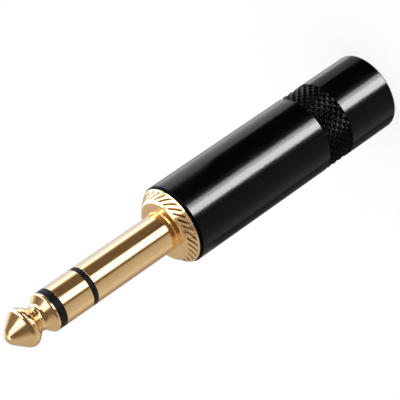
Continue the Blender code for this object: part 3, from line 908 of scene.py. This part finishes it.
# %% Finishes of the inner pieces
for node, material in [
    ("insulating_liner", polythene),
    ("cable_clamp", tin),
    ("ring_lug", tin),
    ("tip_lug", tin),
    ("ring_lug_insulator", board),
    ("tip_lug_insulator", board),
]:
    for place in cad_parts[node].material_slots:
        place.material = material
    print(node, "is", material.name)

# %% [markdown]
# ## World
#
# The world is plain white at a strength of 1, so a colour renders about as it is written, and every kind
# of ray that shows a background, straight, mirrored or through glass, finds the same white.

# %% World
world = bpy.data.worlds.new("white_room")
bpy.context.scene.world = world
world.use_nodes = True
background = world.node_tree.nodes["Background"]
background.inputs["Color"].default_value = (1.0, 1.0, 1.0, 1.0)
print("world strength", background.inputs["Strength"].default_value)

# %% [markdown]
# ## Light tent
#
# Polished metal shows its surroundings, so the surroundings are half of its look. A product photographer
# stands white sheets and black cards round the plug, until the metal has one clean bright stripe with a
# dark line beside it. Cards could be placed one by one. A tent, a ball round the plug that shows only in
# gloss, is quicker to match to a photograph. It has six rings of paper, each with its elevation in degrees
# and a list of papers: azimuth, level of light, and for some how cool the paper is. Azimuth 0 is at the
# camera and grows towards +X. BLENDS says between which elevations one ring goes over into the next.

# %% Light tent: papers
RINGS = [
    (-65, [(-180, 0.45), (-40, 0.45), (-12, 0.9), (5, 0.9), (14, 0.15), (40, 0.15), (60, 1.1), (150, 0.9)]),
    (-29, [(-180, 0.34), (-130, 0.37), (-110, 0.62), (-96, 0.7), (-84, 0.6), (-60, 0.54), (-33, 0.46),
           (-24, 0.15), (-16, 0.15), (-8, 2.6), (17, 2.6), (25, 0.15), (74, 0.14), (84, 0.6), (94, 2.2),
           (101, 2.2), (112, 0.85, 3), (130, 0.8, 5), (150, 0.7, 3), (165, 0.66, 2)]),
    (28, [(-180, 0.52), (-150, 0.5), (-81, 0.56), (-62, 0.4), (-50, 0.15), (30, 0.16), (75, 0.25),
          (101, 0.27), (119, 0.2), (135, 0.52), (150, 1.1), (165, 1.0)]),
    (57, [(-180, 0.52), (-80, 0.5), (-62, 0.35), (-40, 0.17), (-26, 0.17), (4, 0.17), (14, 0.8), (26, 1.7),
          (57, 2.4), (72, 1.6), (80, 0.5), (92, 0.3), (110, 0.3), (135, 0.4)]),
    (74, [(-180, 1.8), (-125, 1.8), (-100, 0.4), (-12, 0.17), (8, 0.17), (35, 1.3), (90, 1.3), (105, 0.5),
          (125, 1.8)]),
    (88, [(-180, 0.6), (180, 0.6)]),
]
BLENDS = [(-52, -42), (-16, -2), (39, 47), (62, 70), (82, 87)]


def paper_colour(level, cool=1):
    """The colour of paper at a level of light: dark cards are warm and bright sheets slightly cool."""
    dark = up_to_one((0.5 - level) / 0.35)
    bright = cool * up_to_one((level - 0.5) / 0.5)
    return (level, level * (1 - 0.2 * dark + 0.1 * bright), level * (1 - 0.4 * dark + 0.32 * bright), 1.0)


def ring_of_paper(tree, turn, papers):
    """A ramp round the plug from a ring's list of papers, closed behind it."""
    if papers[-1][0] < 180:
        papers = papers + [(180, *papers[0][1:])]
    node = add(tree, "ShaderNodeValToRGB", {0: turn})
    ramp = node.color_ramp
    while len(ramp.elements) < len(papers):
        ramp.elements.new(0.5)
    for element, (azimuth, *paper) in zip(ramp.elements, papers):
        element.position = azimuth / 360 + 0.5
        element.color = paper_colour(*paper)
    return node.outputs[0]


print("paper of level 0.15 is", [round(v, 3) for v in paper_colour(0.15)[:3]])
print("paper of level 2.6 is", [round(v, 3) for v in paper_colour(2.6)[:3]])

# %% [markdown]
# ## Hanging the tent
#
# The tent's paper glows, but only gloss shows it, so the light on the plug stays plain. Its material turns
# the direction from the tent's centre into an azimuth and an elevation, and looks both up in the rings.

# %% Light tent
TENT_RADIUS = 1.5
TENT_HEIGHT = 45 * MM


def make_glow(name):
    """A material that only glows, its tree and its emission node."""
    material, tree, shader = new_material(name)
    tree.nodes.remove(shader)
    glow = add(tree, "ShaderNodeEmission")
    tree.links.new(glow.outputs[0], tree.nodes["Material Output"].inputs[0])
    material.cycles.emission_sampling = "NONE"
    return material, tree, glow


def make_tent_paper():
    material, tree, glow = make_glow("tent_paper")
    place = add(tree, "ShaderNodeTexCoord")
    towards = add(tree, "ShaderNodeVectorMath", {0: place.outputs["Object"]}, operation="NORMALIZE")
    axis = add(tree, "ShaderNodeSeparateXYZ", {0: towards.outputs[0]})
    front = add(tree, "ShaderNodeMath", {0: axis.outputs["Y"], 1: -1.0}, operation="MULTIPLY")
    azimuth = add(tree, "ShaderNodeMath", {0: axis.outputs["X"], 1: front.outputs[0]}, operation="ARCTAN2")
    turn = add(
        tree,
        "ShaderNodeMath",
        {0: azimuth.outputs[0], 1: 1 / (2 * pi), 2: 0.5},
        operation="MULTIPLY_ADD",
    ).outputs[0]
    rise = add(tree, "ShaderNodeMath", {0: axis.outputs["Z"]}, operation="ARCSINE")
    elevation = add(tree, "ShaderNodeMath", {0: rise.outputs[0], 1: 180 / pi}, operation="MULTIPLY")
    colour = ring_of_paper(tree, turn, RINGS[0][1])
    for (_, papers), (start, end) in zip(RINGS[1:], BLENDS):
        share = add(
            tree,
            "ShaderNodeMapRange",
            {"Value": elevation.outputs[0], "From Min": start, "From Max": end},
            interpolation_type="SMOOTHSTEP",
        )
        colour = add(
            tree,
            "ShaderNodeMix",
            {0: share.outputs[0], 6: colour, 7: ring_of_paper(tree, turn, papers)},
            data_type="RGBA",
        ).outputs[2]
    tree.links.new(colour, glow.inputs["Color"])
    return material


def only_in_gloss(sheet, material):
    """Stand a sheet or card in the studio, where nothing but a glossy surface shows it."""
    sheet.data.materials.append(material)
    sheet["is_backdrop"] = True
    for kind in ("camera", "diffuse", "transmission", "volume_scatter", "shadow"):
        setattr(sheet, "visible_" + kind, False)


bpy.ops.mesh.primitive_uv_sphere_add(
    segments=96, ring_count=48, radius=TENT_RADIUS, location=(0, 0, TENT_HEIGHT)
)
tent = bpy.context.object
tent.name = "light_tent"
only_in_gloss(tent, make_tent_paper())
print("tent of", len(tent.data.polygons), "faces, radius", TENT_RADIUS, "m")

# %% [markdown]
# ## Soft boxes for the shell
#
# The shell's coat mirrors so little that a paper bright enough for its long strip would burn the gold out.
# So the strip comes from two long lamps that light the shell alone: a narrow one for its bright middle,
# and a wide one that softens one side. Their light is as blue as the coat's sheen is warm, so the strip
# comes out neutral.

# %% Soft boxes
LAMP_DISTANCE = 0.25


def soft_box(name, azimuth, elevation, width, length, level, piece):
    """A long lamp that shows only in one piece's gloss. width and length are angles seen from the plug."""
    towards = Vector(
        (
            sin(radians(azimuth)) * cos(radians(elevation)),
            -cos(radians(azimuth)) * cos(radians(elevation)),
            sin(radians(elevation)),
        )
    )
    lamp = bpy.data.objects.new(name, bpy.data.lights.new(name, "AREA"))
    bpy.context.scene.collection.objects.link(lamp)
    lamp.data.shape = "RECTANGLE"
    lamp.data.size = 2 * LAMP_DISTANCE * tan(radians(width / 2))
    lamp.data.size_y = 2 * LAMP_DISTANCE * tan(radians(length / 2))
    lamp.data.energy = level * pi * lamp.data.size * lamp.data.size_y
    lamp.data.color = [SHEEN[2] / share for share in SHEEN]
    lamp.location = Vector((0.0, 0.0, TENT_HEIGHT)) + towards * LAMP_DISTANCE
    lamp.rotation_mode = "QUATERNION"
    lamp.rotation_quaternion = towards.to_track_quat("Z", "Y")
    lamp.visible_diffuse = False
    lamp.visible_camera = False
    lit = bpy.data.collections.new("lit_by_" + name)
    lit.objects.link(piece)
    lamp.light_linking.receiver_collection = lit
    print(name, "is", [round(v / MM) for v in (lamp.data.size, lamp.data.size_y)], "mm")


soft_box("front_strip", azimuth=-0.5, elevation=-32, width=15, length=50, level=30.0, piece=shell)
soft_box("front_strip_wide", azimuth=3.3, elevation=-32, width=24.5, length=50, level=26.0, piece=shell)

# %% [markdown]
# ## Cards
#
# In the far tent every piece sees the same paper in the same direction, and in the photograph the tip, the
# shaft, the collar and the shell don't. So a few cards stand close to the plug, where each is in the way
# of one piece's view and not of the next: five for the shell and three for the collar. A card stands
# upright at one x or lies level at one z, and its corners are in mm. The white and grey ones that the
# shell mirrors are plain, without the cool or warm tone of the others.

# %% Cards
def cut_card(name, corners, level, plain):
    """Cut a glowing card to its corners."""
    mesh = bpy.data.meshes.new(name)
    mesh.from_pydata([Vector(corner) * MM for corner in corners], [], [tuple(range(len(corners)))])
    sheet = bpy.data.objects.new(name, mesh)
    bpy.context.scene.collection.objects.link(sheet)
    material, _, glow = make_glow(name)
    glow.inputs["Color"].default_value = (level, level, level, 1.0) if plain else paper_colour(level)
    only_in_gloss(sheet, material)
    print(name, "of", len(corners), "corners at level", level)


def upright_card(name, x, corners, level, plain=False):
    cut_card(name, [(x, y, z) for y, z in corners], level, plain)


def level_card(name, z, corners, level, plain=False):
    cut_card(name, [(x, y, z) for x, y in corners], level, plain)


shell_low = [(8, 27), (66, 2), (140, -30), (140, -120), (8, -60)]
shell_dark = [(-60, 17), (-3, 17), (-3, -60), (-60, -60)]
shell_white = [(-3, 33), (12, 31), (26, 25), (26, -40), (-3, -40)]
shell_side = [(26, 25), (38, 18), (80, -8), (80, -90), (26, -40)]
shell_rear = [(-3, 4), (3, 0), (10, -3), (10, -40), (-3, -40)]
upright_card("grey_card", -30, shell_low, 0.15, plain=True)
upright_card("black_card", 34, shell_dark, 0.02)
upright_card("white_card_low", 22, shell_white, 2.1, plain=True)
upright_card("grey_card_side", 22, shell_side, 0.62, plain=True)
upright_card("grey_card_rear", 21.5, shell_rear, 0.9, plain=True)

cone_white_foot = [(-60, 104), (-20, 83), (4, 76), (20, 62), (50, 48), (110, 36)]
cone_white_top = [(110, 54), (60, 64), (30, 84), (10, 95), (-20, 105), (-60, 125)]
collar_dim = [(-14.5, -28), (5.6, -28), (5.6, -14), (-14.5, -14)]
collar_white = [(5.6, -28), (24, -28), (24, -10), (5.6, -14)]
upright_card("white_card_high", 60, cone_white_foot + cone_white_top, 3.4)
level_card("collar_card_dim", 66, collar_dim, 0.42)
level_card("collar_card", 66, collar_white, 2.6)

# %% [markdown]
# ## Floor
#
# The plug stands on a white sheet. It could be lit until it is white, which would wash out the gold too.
# Instead part of the sheet's white is its own glow, which only the camera and glass see, and the rest is
# plain paper that takes the plug's soft shadow. Other rays find ordinary white paper. Gloss looks past it
# at the tent.

# %% Floor
FLOOR_GAP = 0.05 * MM
FLOOR_SIZE = 4.0
SHADED_SHARE = 0.22
GLOWING_SHARE = 0.79
PAPER_WHITE = 0.8


def make_floor_paper():
    material, tree, shader = new_material("white_sheet")
    tree.nodes.remove(shader)
    shaded = add(tree, "ShaderNodeBsdfDiffuse", {"Color": (SHADED_SHARE, SHADED_SHARE, SHADED_SHARE, 1.0)})
    glow = add(tree, "ShaderNodeEmission", {"Color": (1.0, 1.0, 1.0, 1.0), "Strength": GLOWING_SHARE})
    seen = add(tree, "ShaderNodeAddShader", {0: shaded.outputs[0], 1: glow.outputs[0]})
    ordinary = add(tree, "ShaderNodeBsdfDiffuse", {"Color": (PAPER_WHITE, PAPER_WHITE, PAPER_WHITE, 1.0)})
    path = add(tree, "ShaderNodeLightPath")
    direct = add(
        tree,
        "ShaderNodeMath",
        {0: path.outputs["Is Camera Ray"], 1: path.outputs["Is Transmission Ray"]},
        operation="MAXIMUM",
    )
    either = add(
        tree,
        "ShaderNodeMixShader",
        {0: direct.outputs[0], 1: ordinary.outputs[0], 2: seen.outputs[0]},
    )
    tree.links.new(either.outputs[0], tree.nodes["Material Output"].inputs[0])
    return material


bpy.ops.mesh.primitive_plane_add(size=FLOOR_SIZE, location=(0.0, 0.0, -FLOOR_GAP))
ground = bpy.context.object
ground.name = "white_sheet"
ground.data.materials.append(make_floor_paper())
ground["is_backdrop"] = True
ground.visible_glossy = False
ground.visible_shadow = False
print("floor", FLOOR_GAP / MM, "mm below the shell's rear face")

# %% [markdown]
# ## Visual box
#
# The dressed plug must fill the same box as the imported model, so its box is printed in mm.

# %% Visual box
low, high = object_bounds()
print("visual box in mm:", [round(v / MM, 2) for v in high - low])
